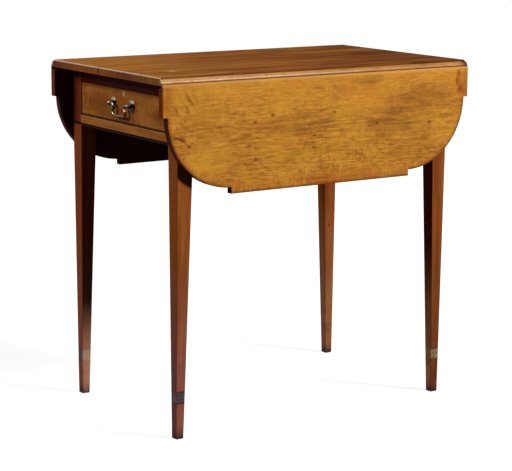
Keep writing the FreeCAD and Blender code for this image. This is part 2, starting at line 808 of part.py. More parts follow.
def build_drawer(case, bolt, lock_screws, lock_room):
    front, right, left, back, bottom = drawer_box()
    roses, posts, nuts, bail, holes = handle(front_thickness)
    escutcheon = keyhole(escutcheon_rim, escutcheon_depth)
    front = cut_all(front, holes + lock_screws + [lock_room, escutcheon, keyhole(0, front_thickness)])
    add("drawer_front", front)
    add("drawer_side_right", right)
    add("drawer_side_left", left)
    add("drawer_back", back)
    add("drawer_bottom", bottom)
    add("drawer_handle_roses", *roses)
    add("drawer_handle_posts", *posts)
    add("drawer_handle_nuts", *nuts)
    add("drawer_bail", bail)
    add("escutcheon", escutcheon.cut(keyhole(0, escutcheon_depth)))
    add("lock_case", case)
    add("lock_bolt", bolt)
    add("lock_screws", *lock_screws)


def main():
    screws = top_screws()
    case, bolt, lock_screws, lock_room, mortise = lock_pieces()
    rear_rail, false_front, right_rail, left_rail = build_frieze(screws, mortise)
    build_back_handle(rear_rail, false_front)
    build_fly_rails(right_rail, left_rail)
    build_drawer_run(screws)
    build_top_and_leaves(screws)
    build_drawer(case, bolt, lock_screws, lock_room)
    add("top_screws", *screws)
    os.makedirs("parts", exist_ok=True)
    for name, shape in nodes.items():
        shape.exportStep(f"parts/{name}.step")


main()
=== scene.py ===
import json
import math

import bmesh
import bpy
from mathutils import Matrix, Quaternion, Vector


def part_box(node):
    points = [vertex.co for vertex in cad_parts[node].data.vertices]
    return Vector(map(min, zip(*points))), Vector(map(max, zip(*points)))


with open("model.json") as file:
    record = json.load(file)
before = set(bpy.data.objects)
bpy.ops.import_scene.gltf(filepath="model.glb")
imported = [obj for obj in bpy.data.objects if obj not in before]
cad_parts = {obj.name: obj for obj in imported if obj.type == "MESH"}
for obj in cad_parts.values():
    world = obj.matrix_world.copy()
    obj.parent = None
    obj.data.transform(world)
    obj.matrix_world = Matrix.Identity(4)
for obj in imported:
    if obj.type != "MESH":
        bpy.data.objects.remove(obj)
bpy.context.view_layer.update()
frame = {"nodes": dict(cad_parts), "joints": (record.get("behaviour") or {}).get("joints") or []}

# Camera, in metres and degrees
camera_aim = Vector((0.0, -0.0085, 0.343))
camera_distance = 3.7604
camera_azimuth = 56.515
camera_elevation = 10.919
camera_roll = 0.313
camera_lens_mm = 124.871
camera_sensor_mm = 36.0

# Studio
floor_half = 60.0
floor_bounce = 0.05
floor_glow_near = 0.84
floor_glow_far = 0.985
floor_glow_reach = (0.7, 2.4)
floor_shade_depth = 0.30
room_light = 0.022
room_mirrored = 0.05
studio_aim = Vector((0.0, 0.0, 0.45))
key_direction = Vector((0.63, 0.49, 0.51))
key_distance = 7.0
key_size = 1.2
key_watts = 718.0
fill_direction = Vector((-0.25, -0.80, 0.50))
fill_distance = 4.0
fill_size = 1.4
fill_watts = 90.0

# Places on the table, read from the frame
top_low, top_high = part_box("table_top")
leaf_low, leaf_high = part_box("leaf_right")
cuff_low, cuff_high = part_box("cuff_front_right")
drawer_low, drawer_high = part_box("drawer_front")
string_low, string_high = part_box("front_stringing")
rose_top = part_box("drawer_handle_roses")[1][2]
hinge_line = next(Vector(joint["pos_m"]) for joint in frame["joints"] if joint["name"] == "leaf_right_hinge")

# The round corners of a leaf and the square ears above them
leaf_corner_y = 0.217
leaf_corner_z = 0.639
leaf_corner_radius = 0.143

# Marks on the near leaf: place along the table, height, half length, half height, and the slope of a curl
leaf_clouds = ((-0.046, 0.604, 0.100, 0.030), (0.242, 0.646, 0.095, 0.030), (0.110, 0.689, 0.045, 0.014),
               (0.185, 0.600, 0.120, 0.045))
leaf_red_spots = ((-0.358, 0.668, 0.016, 0.034), (-0.166, 0.694, 0.018, 0.006), (0.360, 0.662, 0.020, 0.034),
                  (-0.010, 0.492, 0.060, 0.012), (0.200, 0.488, 0.050, 0.010))
leaf_curls = ((-0.330, 0.662, 0.042, 0.042, 55.0), (-0.338, 0.597, 0.048, 0.034, 33.0))
ear_cracks = ((0.345, 0.689, 0.007, 0.011), (0.341, 0.673, 0.006, 0.012), (0.349, 0.657, 0.009, 0.009))
leaf_pins = ((-0.122, 0.631), (-0.163, 0.619), (-0.161, 0.546), (-0.022, 0.560), (0.026, 0.628),
             (0.134, 0.598), (0.270, 0.592), (-0.312, 0.582))
leaf_pin_size = (0.0065, 0.0045)
mark_depth = 0.05

# Marks on the top and the drawer front, in metres
top_seam_x = -0.0229
top_scuff_x = 0.119
top_scuff_from_end = 0.085
top_scuff_size = (0.010, 0.015, mark_depth)
keyhole_x = 0.012
keyhole_drop = 0.014
keyhole_cloud_size = (0.060, mark_depth, 0.022)

# Heights, or places along the table, between which a finish changes, in metres
leaf_sheen_heights = (0.610, 0.695)
leg_fading_and_light = (0.36, 0.08)
leg_blotching = (0.30, 0.12)
moulding_highlight_reach = (0.10, top_low[1])

# Bands with a soft edge: how far from its own line a band starts and how far it is full, in metres
leaf_rim_band = (-0.016, 0.0)
leaf_curve_band = (-0.007, 0.0)
leaf_foot_band = (0.007, 0.0)
leaf_ear_band = (0.0, 0.002)
leaf_lip_highlight_band = (-0.007, -0.003)
top_seam_band = (0.0008, 0.0004)
top_crack_band = (0.0030, 0.0014)
moulding_band = (0.0006, 0.0016)
moulding_joint_shade_band = (0.0016, 0.0008)
moulding_step_band = (-0.0010, -0.0004)
top_end_highlight_band = (-0.0035, -0.0020)
top_upper_highlight_band = (-0.0024, -0.0014)
top_back_shade_band = (-0.016, -0.006)
stile_band = (0.0, 0.003)
stile_inner_band = (0.012, 0.004)
leg_string_band = (0.0040, 0.0025)
leg_string_rise = 0.0015
foot_scuff_band = (0.024, 0.004)
drawer_side_grime_and_shade_band = (-0.012, 0.0)
drawer_upper_grime_and_shade_band = (-0.010, 0.0)
drawer_foot_gap_band = (0.0040, 0.0022)
drawer_side_gap_band = (-0.0040, -0.0020)
rail_string_band = (0.001, 0.0)
cuff_upper_band = (-0.0035, -0.0020)
cuff_lower_band = (0.0035, 0.0020)
rose_highlight_band = (-0.0075, -0.0045)

# Radii of arrises, reach of grime into hollows, depth of reliefs and spacing of lines, in metres
leaf_arris = 0.0040
leg_arris = 0.0028
drawer_arris = 0.0030
rail_arris = 0.0030
brass_hollow = 0.006
grain_relief = 0.0004
inlay_relief = 0.0003
brass_relief = 0.0002
iron_relief = 0.0003
ring_spacing = 0.005
cuff_row_spacing = 0.0040

# Patterns: the span of most noise, the stops of a wood's tones, and where a mark starts and is full
noise_span = (0.3, 0.7)
tone_stops = (0.12, 0.36, 0.52, 0.85)
ripple_span = (0.40, 0.60)
blush_span = (0.50, 0.72)
pore_span = (0.36, 0.26)
fleck_span = (0.09, 0.03)
patch_lobes_per_metre = 45.0
patch_span = (1.05, 0.25)
arris_span = (0.995, 0.90)
hidden_span = (-0.5, -0.9)

# Shine, roughness at the low and the high end of its pattern, and strength of the bumps
wood_shine = 0.01
wood_roughness = (0.40, 0.55)
wood_bump = 0.12
top_shine = 0.05
moulding_roughness = (0.17, 0.34)
dry_shine = 0.15
dry_roughness = (0.6, 0.8)
dry_bump = 0.25
string_shine = 0.005
string_roughness = (0.45, 0.65)
cuff_shine = 0.06
cuff_roughness = (0.40, 0.60)
inlay_bump = 0.2
brass_roughness = (0.42, 0.30)
brass_bump = 0.04
iron_roughness = (0.45, 0.75)
iron_bump = 0.2

# Metals: how metallic each is, and how far up a face of brass looks where its painted highlight starts and is
# full
escutcheon_metallic = 0.2
handle_metallic = 1.0
iron_metallic = 0.85
escutcheon_highlight_facing = (0.0, 0.4)
rose_highlight_facing = (0.24, 0.55)
bail_highlight_facing = (0.02, 0.42)

# Hearts of the trees that the unpolished woods were sawn from, in metres
drawer_side_heart = (0.2, 0.0, 0.4)
drawer_back_heart = (0.0, 0.4, 0.4)
drawer_bottom_heart = (0.0, 0.1, 0.3)
runner_heart = (0.3, 0.0, 0.5)
block_heart = (0.0, 0.2, 0.5)
bracket_heart = (0.3, 0.0, 0.5)

# Colours of the leaves, as linear red, green and blue; a wood's tones go from dark to pale
leaf_tones = ((0.150, 0.046, 0.008), (0.320, 0.120, 0.018), (0.470, 0.196, 0.026), (0.640, 0.300, 0.044))
leaf_red = (0.430, 0.135, 0.018)
leaf_gold = (0.620, 0.300, 0.026)
leaf_rust = (0.400, 0.110, 0.016)
leaf_olive = (0.400, 0.200, 0.018)
leaf_upper_sheen_pale = (0.620, 0.265, 0.034)
leaf_cloud_brown = (0.200, 0.074, 0.014)
leaf_spot_red = (0.270, 0.066, 0.011)
leaf_curl_brown = (0.170, 0.048, 0.010)
leaf_crack_brown = (0.190, 0.044, 0.007)
leaf_pin_dark = (0.110, 0.030, 0.008)
leaf_rim_red = (0.360, 0.098, 0.016)
leaf_grime_and_shade_dark = (0.100, 0.026, 0.006)
leaf_edge_dark = (0.050, 0.004, 0.001)
leaf_ear_brown = (0.170, 0.026, 0.004)
leaf_arris_dark = (0.120, 0.030, 0.009)
leaf_lip_highlight_pale = (0.720, 0.380, 0.110)

# Colours of the top
top_tones = ((0.095, 0.024, 0.005), (0.178, 0.050, 0.008), (0.240, 0.076, 0.013), (0.360, 0.135, 0.026))
top_red = (0.210, 0.052, 0.010)
top_olive = (0.290, 0.112, 0.012)
top_gold = (0.330, 0.140, 0.016)
top_dark = (0.105, 0.024, 0.004)
end_red = (0.120, 0.020, 0.001)
end_gold = (0.250, 0.062, 0.002)
end_olive = (0.200, 0.066, 0.002)
end_line_dark = (0.090, 0.016, 0.001)
joint_and_shade_dark = (0.030, 0.008, 0.003)
crack_black = (0.014, 0.003, 0.001)
scuff_pale = (0.560, 0.350, 0.180)
moulding_brown = (0.420, 0.195, 0.055)
moulding_highlight_pale = (0.520, 0.285, 0.130)
step_brown = (0.075, 0.018, 0.005)
top_end_highlight_pale = (0.820, 0.600, 0.450)
top_back_shade_dark = (0.030, 0.006, 0.003)

# Colours of the legs and cuffs; the tones of a foot are those of its end faces and its side faces
near_leg_tones = ((0.080, 0.016, 0.004), (0.180, 0.046, 0.009), (0.270, 0.078, 0.015), (0.345, 0.116, 0.027))
far_leg_tones = ((0.065, 0.012, 0.003), (0.150, 0.034, 0.007), (0.215, 0.056, 0.011), (0.280, 0.088, 0.020))
# The left leg's tones are a shaded copy of the leg wood, redder for its side face in shade.
left_leg_shaded_tones = ((0.080, 0.010, 0.005), (0.195, 0.032, 0.010), (0.300, 0.048, 0.018), (0.370, 0.080, 0.030))
# Some feet take pale tones where they lie in shade: painted light as well as fading.
near_foot_tones = ((0.125, 0.050, 0.075), (0.230, 0.082, 0.068))
left_foot_tones = ((0.240, 0.085, 0.062), (0.400, 0.205, 0.125))
middle_foot_tones = ((0.320, 0.140, 0.100), (0.300, 0.124, 0.038))
right_foot_tones = ((0.400, 0.190, 0.076), (0.075, 0.019, 0.005))
leg_brown = (0.240, 0.060, 0.010)
leg_red = (0.200, 0.046, 0.009)
# Shaded copy: the right leg's end faces lie in shade and take this redder tone.
leg_shaded_maroon = (0.260, 0.024, 0.014)
leg_russet = (0.215, 0.046, 0.012)
leg_blotch_pink = (0.200, 0.060, 0.048)
leg_arris_shade_dark = (0.075, 0.014, 0.006)
leg_string_dark = (0.030, 0.006, 0.004)
stile_maroon_and_shade = (0.110, 0.013, 0.008)
stile_red = (0.190, 0.040, 0.014)
foot_scuff_dark = (0.036, 0.022, 0.017)
# Slate tones for the dark cuffs: the inlay's own dark, with a bluish cast that is a painted reflection.
slate_with_sheen = (0.060, 0.042, 0.055)
dark_slate_with_sheen = (0.110, 0.070, 0.100)
tan = (0.420, 0.240, 0.130)
chestnut = (0.300, 0.130, 0.050)
khaki = (0.300, 0.185, 0.080)
cuff_rose = (0.270, 0.104, 0.064)
cuff_russet = (0.262, 0.094, 0.027)
cuff_row_brown = (0.150, 0.085, 0.060)
cuff_cross_dark = (0.045, 0.020, 0.014)
cuff_rim_dark = (0.035, 0.014, 0.012)

# Colours of the drawer front, the rails and the frieze string
drawer_tones = ((0.120, 0.030, 0.007), (0.230, 0.068, 0.013), (0.340, 0.114, 0.021), (0.450, 0.178, 0.040))
drawer_red = (0.260, 0.058, 0.010)
drawer_olive = (0.330, 0.145, 0.016)
drawer_grime_and_shade_dark = (0.130, 0.028, 0.008)
drawer_foot_gap_shade = (0.020, 0.005, 0.003)
drawer_side_gap_shade = (0.030, 0.008, 0.004)
drawer_arris_dark = (0.050, 0.012, 0.005)
keyhole_red = (0.250, 0.052, 0.009)
rail_tones = ((0.120, 0.028, 0.005), (0.240, 0.072, 0.012), (0.370, 0.132, 0.024), (0.460, 0.190, 0.048))
top_rail_shaded_tones = ((0.026, 0.002, 0.003), (0.058, 0.004, 0.006), (0.090, 0.007, 0.009), (0.125, 0.016, 0.014))
rail_string_dark = (0.020, 0.004, 0.002)
top_rail_worn = (0.080, 0.020, 0.012)
end_rail_wear_and_highlight = (0.600, 0.330, 0.160)
side_rail_wear_and_highlight = (0.400, 0.180, 0.060)
string_stops = ((0.3, (0.006, 0.002, 0.001)), (0.55, (0.014, 0.004, 0.003)), (0.8, (0.030, 0.010, 0.006)))

# Colours of the unpolished woods
oak_tones = ((0.16, 0.085, 0.035), (0.26, 0.150, 0.065), (0.36, 0.220, 0.105), (0.44, 0.285, 0.150))
pine_tones = ((0.20, 0.105, 0.040), (0.32, 0.190, 0.080), (0.44, 0.280, 0.130), (0.52, 0.350, 0.180))
beech_tones = ((0.17, 0.085, 0.036), (0.27, 0.150, 0.070), (0.36, 0.215, 0.108), (0.43, 0.270, 0.145))
bare_and_shaded_stops = ((0.2, (0.030, 0.003, 0.005)), (0.8, (0.085, 0.012, 0.014)))

# Colours of the metals
escutcheon_dull = (0.700, 0.440, 0.240)
escutcheon_bright = (0.900, 0.660, 0.420)
# Brass tones: a dark patina that also serves as painted shade below, and a painted highlight on top.
brass_patina_and_shade = (0.016, 0.010, 0.005)
brass_painted_highlight = (0.960, 0.800, 0.540)
brass_hollow_dark = (0.016, 0.010, 0.006)
iron_stops = ((0.35, (0.070, 0.062, 0.056)), (0.55, (0.115, 0.095, 0.078)), (0.75, (0.120, 0.055, 0.025)))

# Each leg: name and tones of its wood, tone of its end faces, and tones of its foot, which is partly faded
# and partly painted light
leg_looks = {
    "leg_front_right": ("near_leg_wood", near_leg_tones, leg_brown, near_foot_tones),
    "leg_front_left": ("left_leg_wood", left_leg_shaded_tones, leg_red, left_foot_tones),
    "leg_back_left": ("middle_leg_wood", far_leg_tones, leg_brown, middle_foot_tones),
    "leg_back_right": ("right_leg_wood", far_leg_tones, leg_shaded_maroon, right_foot_tones),
}

# Each cuff: name, tone of its end faces and side faces, and how strongly its lines show on each
cuff_looks = {
    "cuff_front_right": ("near_cuff_slate", dark_slate_with_sheen, slate_with_sheen, 0.5, 0.5),
    "cuff_front_left": ("left_cuff_worn", dark_slate_with_sheen, tan, 0.4, 0.12),
    "cuff_back_right": ("right_cuff_worn", chestnut, khaki, 0.12, 0.8),
    "cuff_back_left": ("back_cuff_worn", cuff_rose, cuff_russet, 0.04, 0.04),
}

# Axes, for the run of the grain and the way a face looks
X_AXIS = 0
Y_AXIS = 1
Z_AXIS = 2


# Building blocks of a finish
class Nodes:
    """A node tree being put together: nodes are added and fed by name."""

    def __init__(self, tree):
        self.tree = tree

    def feed(self, socket, value):
        if isinstance(value, bpy.types.NodeSocket):
            self.tree.links.new(value, socket)
        else:
            socket.default_value = value

    def add(self, kind, inputs, output=0, **settings):
        node = self.tree.nodes.new(kind)
        for key, value in settings.items():
            setattr(node, key, value)
        for key, value in inputs.items():
            self.feed(node.inputs[key], value)
        return node.outputs[output]

    def calc(self, operation, first, second=0.0, third=0.0):
        return self.add("ShaderNodeMath", {0: first, 1: second, 2: third}, operation=operation)

    def vectors(self, operation, first, second=(0.0, 0.0, 0.0), third=(0.0, 0.0, 0.0), output=0):
        inputs = {0: first, 1: second, 2: third}
        return self.add("ShaderNodeVectorMath", inputs, output, operation=operation)

    def ranged(self, value, low, high, to_low=0.0, to_high=1.0):
        """A value carried from one range to another, and held at the ends."""
        inputs = {"Value": value, "From Min": low, "From Max": high, "To Min": to_low, "To Max": to_high}
        return self.add("ShaderNodeMapRange", inputs)

    def contrast(self, pattern, low, high, least=0.0):
        """A pattern made stronger: its least below the low value and 1 above the high one."""
        return self.ranged(pattern, low, high, least, 1.0)

    def shown_rays(self):
        """Rays from the camera, and rays that come by reflection or through glass."""
        path = self.tree.nodes.new("ShaderNodeLightPath").outputs
        mirrored = self.calc("MAXIMUM", path["Is Glossy Ray"], path["Is Transmission Ray"])
        return path["Is Camera Ray"], mirrored


class Finish(Nodes):
    """A material that follows places on the table itself."""

    def __init__(self, name):
        self.material = bpy.data.materials.new(name)
        self.material.use_nodes = True
        super().__init__(self.material.node_tree)
        self.shader = self.tree.nodes["Principled BSDF"]
        self.coordinates = self.tree.nodes.new("ShaderNodeTexCoord")
        self.place = self.coordinates.outputs["Object"]
        self.x, self.y, self.z = self.parts(self.place)

    def parts(self, vector):
        node = self.tree.nodes.new("ShaderNodeSeparateXYZ")
        self.feed(node.inputs[0], vector)
        return node.outputs

    def facing(self, axis):
        """How far a face looks along an axis, from -1 to 1."""
        return self.parts(self.coordinates.outputs["Normal"])[axis]

    def faces(self, axis, start=0.6, full=0.95):
        """1 on faces that look along an axis, either way, 0 on the others; the reverse if full is less."""
        return self.ranged(self.calc("ABSOLUTE", self.facing(axis)), start, full)

    def past(self, value, line, band):
        """A band with a soft edge, at its own distances from a line."""
        start, full = band
        return self.ranged(value, line + start, line + full)

    def away(self, value, middle):
        """Distance from a middle, on both sides of it."""
        return self.calc("ABSOLUTE", self.calc("SUBTRACT", value, middle))

    def stretched(self, vector, scale, shift=(0.0, 0.0, 0.0), turn=(0.0, 0.0, 0.0)):
        """A place in patterns to the metre, shifted and turned."""
        inputs = {"Vector": vector, "Location": shift, "Rotation": turn, "Scale": scale}
        return self.add("ShaderNodeMapping", inputs)

    def noise(self, vector, scale=1.0, detail=2.0, roughness=0.5, output=0):
        inputs = {"Vector": vector, "Scale": scale, "Detail": detail, "Roughness": roughness}
        return self.add("ShaderNodeTexNoise", inputs, output)

    def bands(self, distance, spacing, detail=2.0):
        """Uneven lines at about this spacing along a distance."""
        inputs = {"W": self.calc("MULTIPLY", distance, 1.0 / spacing), "Scale": 1.0, "Detail": detail}
        return self.add("ShaderNodeTexNoise", inputs, noise_dimensions="1D")

    def ramp(self, value, stops):
        node = self.tree.nodes.new("ShaderNodeValToRGB")
        elements = node.color_ramp.elements
        for position, _ in stops[1:-1]:
            elements.new(position)
        for element, (position, colour) in zip(elements, stops):
            element.position = position
            element.color = (*colour, 1.0)
        self.feed(node.inputs[0], value)
        return node.outputs[0]

    def tint(self, factor, under, over):
        """A colour that goes from under to over with the factor."""
        node = self.tree.nodes.new("ShaderNodeMix")
        node.data_type = "RGBA"
        for index, value in ((0, factor), (6, under), (7, over)):
            if isinstance(value, tuple):
                value = (*value, 1.0)
            self.feed(node.inputs[index], value)
        return node.outputs[2]

    def blended(self, factor, under, over):
        """A number that goes from under to over with the factor."""
        return self.calc("MULTIPLY_ADD", self.calc("SUBTRACT", over, under), factor, under)

    def both(self, first, second):
        return self.calc("MULTIPLY", first, second)

    def either(self, first, second):
        return self.calc("MAXIMUM", first, second)

    def edge(self, radius):
        """1 along arrises, 0 on the flat."""
        soft = self.add("ShaderNodeBevel", {"Radius": radius}, samples=4)
        hard = self.add("ShaderNodeNewGeometry", {}, output=1)
        same = self.vectors("DOT_PRODUCT", soft, hard, output=1)
        return self.ranged(same, *arris_span)

    def ragged_patch(self, vector, centre, reach, ragged=0.9):
        """1 in the middle of an uneven patch, 0 outside it."""
        offset = self.vectors("DIVIDE", self.vectors("SUBTRACT", vector, centre), reach)
        distance = self.vectors("LENGTH", offset, output=1)
        wander = self.calc("SUBTRACT", self.noise(vector, patch_lobes_per_metre, detail=3.0), 0.5)
        return self.ranged(self.calc("MULTIPLY_ADD", wander, ragged, distance), *patch_span)

    def bumped(self, height, bump, relief):
        inputs = {"Height": height, "Strength": bump, "Distance": relief}
        self.feed(self.shader.inputs["Normal"], self.add("ShaderNodeBump", inputs))

    def surface(self, colour, sheen, roughness, height, bump, relief):
        """Its colour, a roughness that follows the sheen, and a relief that follows the height."""
        self.feed(self.shader.inputs["Base Color"], colour)
        self.feed(self.shader.inputs["Roughness"], self.ranged(sheen, *noise_span, *roughness))
        self.bumped(height, bump, relief)


# Woods
class Wood(Finish):
    """A wood made in the order of the work: figure, colour, stains and marks, then polish."""

    def __init__(self, name, grain, tones, sway=0.030):
        super().__init__(name)
        self.grain = grain
        self.tones = tones
        self.tone = 0.5
        slow = self.noise(self.stretched(self.place, self.drawn_out(along=2.5, across=6.0)), output=1)
        pull = [sway] * 3
        pull[grain] = 0.0
        centred = self.vectors("SUBTRACT", slow, (0.5, 0.5, 0.5))
        self.bent = self.vectors("MULTIPLY_ADD", centred, tuple(pull), self.place)

    def drawn_out(self, along, across):
        scale = [across] * 3
        scale[self.grain] = along
        return tuple(scale)

    def streaks(self, along, across, detail=2.0, shift=(0.0, 0.0, 0.0)):
        """A pattern drawn out along the grain: so many to the metre along it and across it."""
        drawn = self.stretched(self.bent, self.drawn_out(along, across), shift)
        return self.noise(drawn, detail=detail, roughness=0.55)

    def figure(self, pattern, weight):
        centred = self.calc("SUBTRACT", pattern, 0.5)
        self.tone = self.calc("MULTIPLY_ADD", centred, weight, self.tone)

    def fibres(self, along, across, weight):
        self.fine = self.streaks(along, across, detail=3.0)
        self.figure(self.fine, weight)

    def ripple(self, along, across, weight, patches=5.0):
        """Cross figure that comes and goes in patches."""
        waves = self.calc("SUBTRACT", self.streaks(along, across), 0.5)
        shown = self.ranged(self.noise(self.place, patches, detail=1.0), *ripple_span)
        self.tone = self.calc("MULTIPLY_ADD", self.both(waves, shown), weight, self.tone)

    def growth_rings(self, heart, spacing, weight):
        across = [1.0] * 3
        across[self.grain] = 0.0
        flat = self.vectors("MULTIPLY", self.vectors("SUBTRACT", self.bent, heart), tuple(across))
        self.figure(self.bands(self.vectors("LENGTH", flat, output=1), spacing), weight)

    def colour_in(self):
        self.colour = self.ramp(self.tone, list(zip(tone_stops, self.tones)))

    def stain(self, mask, colour, amount=1.0):
        self.colour = self.tint(self.both(mask, amount), self.colour, colour)

    def blush(self, colour, along, across, amount, shift=(0.7, 0.3, 0.9)):
        """Slow clouds of another colour."""
        clouds = self.streaks(along, across, detail=3.0, shift=shift)
        self.stain(self.ranged(clouds, *blush_span), colour, amount)

    def pores(self, amount):
        self.pits = self.ranged(self.streaks(along=55.0, across=900.0, detail=1.0), *pore_span)
        self.stain(self.pits, self.tones[0], amount)

    def flecks(self, share, amount=0.75, along=14.0, across=22.0):
        """Small dark pin marks in a share of the cells, so many to the metre along and across the grain."""
        cells = self.tree.nodes.new("ShaderNodeTexVoronoi")
        self.feed(cells.inputs["Vector"], self.stretched(self.bent, self.drawn_out(along, across)))
        cells.inputs["Scale"].default_value = 1.0
        chosen = self.calc("LESS_THAN", self.parts(cells.outputs["Color"])[0], share)
        spot = self.ranged(cells.outputs["Distance"], *fleck_span)
        self.stain(self.both(spot, chosen), self.tones[0], amount)

    def end_grain(self, amount):
        """Darker where the surface cuts across the grain."""
        self.stain(self.faces(self.grain), self.tones[0], amount)

    def arrises(self, radius, colour, amount):
        """Another colour along the arrises, broken up along its length: grime or wear, and on the end and
        side rails a pale line that is partly wear and partly painted highlight.
        """
        lengths = self.streaks(along=9.0, across=40.0, detail=3.0, shift=(0.2, 0.9, 0.4))
        broken = self.contrast(lengths, 0.30, 0.62, least=0.35)
        self.stain(self.both(self.edge(radius), broken), colour, amount)

    def bare_side(self, outward):
        """Unpolished wood on the faces that look inward: dull and dry, and dark with age and with painted
        shade.
        """
        hidden = self.ranged(outward, *hidden_span)
        # Painted shade as well as age: the inward faces take near-black tones.
        self.colour = self.tint(hidden, self.colour, self.ramp(self.tone, bare_and_shaded_stops))

    def polish(self, roughness=wood_roughness, shine=wood_shine, bump=wood_bump, glossy=None):
        """The finished surface; glossy is a mask and the roughness that it has."""
        self.feed(self.shader.inputs["Base Color"], self.colour)
        level = self.ranged(self.fine, *noise_span, *roughness)
        if glossy:
            mask, smooth = glossy
            level = self.blended(mask, level, smooth)
        self.feed(self.shader.inputs["Roughness"], level)
        self.shader.inputs["Specular IOR Level"].default_value = shine
        self.bumped(self.calc("SUBTRACT", self.fine, self.pits), bump, grain_relief)


# The leaves
def leaf_patch(leaf, vector, mark, ragged):
    """An uneven patch on a leaf at the place and of the size of a mark."""
    y, z, long, high = mark
    return leaf.ragged_patch(vector, (leaf_high[0], y, z), (mark_depth, long, high), ragged)


def leaf_marks(leaf):
    """Clouds, red spots, curls of the grain near one end, cracks in an ear, and pin marks."""
    lengths = leaf.streaks(along=9.0, across=120.0, detail=3.0, shift=(0.6, 0.2, 0.7))
    drawn = leaf.contrast(lengths, 0.38, 0.60, least=0.25)
    for mark in leaf_clouds:
        cloud = leaf_patch(leaf, leaf.bent, mark, ragged=0.9)
        leaf.stain(leaf.both(cloud, drawn), leaf_cloud_brown, amount=0.82)
    for mark in leaf_red_spots:
        spot = leaf_patch(leaf, leaf.bent, mark, ragged=1.4)
        leaf.stain(leaf.both(spot, drawn), leaf_spot_red, amount=0.75)
    for *mark, slope in leaf_curls:
        turned = leaf.stretched(leaf.bent, scale=(1.0, 1.0, 1.0), turn=(math.radians(slope), 0.0, 0.0))
        strokes = leaf.contrast(leaf.noise(leaf.stretched(turned, scale=(1.0, 26.0, 150.0))), 0.50, 0.66)
        curl = leaf_patch(leaf, leaf.place, mark, ragged=0.5)
        leaf.stain(leaf.both(strokes, curl), leaf_curl_brown)
    for mark in ear_cracks:
        crack = leaf_patch(leaf, leaf.place, mark, ragged=1.3)
        leaf.stain(crack, leaf_crack_brown, amount=0.75)
    for place in leaf_pins:
        pin = leaf_patch(leaf, leaf.place, (*place, *leaf_pin_size), ragged=0.8)
        leaf.stain(pin, leaf_pin_dark, amount=0.75)


def leaf_rims(leaf):
    """Redder wood along the round corners and the ears, a dark line inside the round corners and along the
    foot that is partly grime and partly painted shade, dark edges, and browner ends on the ears.
    """
    reach = leaf.calc("ABSOLUTE", leaf.y)
    out = leaf.either(leaf.calc("SUBTRACT", reach, leaf_corner_y), 0.0)
    down = leaf.either(leaf.calc("SUBTRACT", leaf_corner_z, leaf.z), 0.0)
    round_off = leaf.calc("SQRT", leaf.calc("ADD", leaf.both(out, out), leaf.both(down, down)))
    rim = leaf.past(round_off, leaf_corner_radius, leaf_rim_band)
    ragged = leaf.noise(leaf.stretched(leaf.place, scale=(1.0, 260.0, 40.0)), detail=3.0)
    uneven = leaf.contrast(ragged, 0.38, 0.60)
    leaf.stain(leaf.both(rim, uneven), leaf_rim_red, amount=0.75)
    near_end = leaf.calc("GREATER_THAN", reach, leaf_corner_y)
    below_ear = leaf.calc("LESS_THAN", leaf.z, leaf_corner_z)
    corner = leaf.both(near_end, below_ear)
    # Grime and painted shade: a dark line inside the round corners and along the foot of the leaf.
    curve = leaf.both(leaf.past(round_off, leaf_corner_radius, leaf_curve_band), corner)
    foot = leaf.past(leaf.z, leaf_low[2], leaf_foot_band)
    leaf.stain(leaf.either(curve, foot), leaf_grime_and_shade_dark, amount=0.85)
    edges = leaf.faces(X_AXIS, start=0.75, full=0.45)
    leaf.stain(edges, leaf_edge_dark, amount=0.95)
    ears = leaf.both(leaf.past(leaf.z, leaf_corner_z, leaf_ear_band), edges)
    leaf.stain(ears, leaf_ear_brown, amount=0.85)


def leaf_wood():
    leaf = Wood("leaf_golden_wood", Y_AXIS, leaf_tones)
    leaf.figure(leaf.streaks(along=18.0, across=220.0), weight=0.75)
    leaf.fibres(along=60.0, across=440.0, weight=0.85)
    leaf.figure(leaf.streaks(along=5.0, across=14.0, detail=3.0), weight=0.50)
    leaf.figure(leaf.streaks(along=80.0, across=130.0, shift=(0.4, 0.8, 0.1)), weight=0.38)
    leaf.ripple(along=230.0, across=60.0, weight=0.50)
    leaf.colour_in()
    leaf.blush(leaf_red, along=7.0, across=20.0, amount=0.60)
    leaf.blush(leaf_gold, along=10.0, across=30.0, amount=0.55, shift=(1.9, 0.4, 0.2))
    leaf.blush(leaf_rust, along=40.0, across=70.0, amount=0.40, shift=(0.2, 0.5, 0.3))
    leaf.blush(leaf_olive, along=9.0, across=34.0, amount=0.60, shift=(3.1, 0.2, 1.7))
    # Painted sheen: the leaf goes paler toward its top.
    leaf.stain(leaf.ranged(leaf.z, *leaf_sheen_heights), leaf_upper_sheen_pale, amount=0.42)
    leaf_marks(leaf)
    leaf.pores(amount=0.50)
    leaf.flecks(share=0.06)
    leaf.flecks(share=0.22, amount=0.60, along=42.0, across=80.0)
    leaf_rims(leaf)
    leaf.arrises(leaf_arris, leaf_arris_dark, amount=0.7)
    # Painted highlight: a pale band along the rounded top of the leaf, just below the hinge line.
    leaf.stain(leaf.past(leaf.z, hinge_line.z, leaf_lip_highlight_band), leaf_lip_highlight_pale, amount=0.45)
    leaf.bare_side(leaf.both(leaf.calc("SIGN", leaf.x), leaf.facing(X_AXIS)))
    leaf.polish()
    return leaf


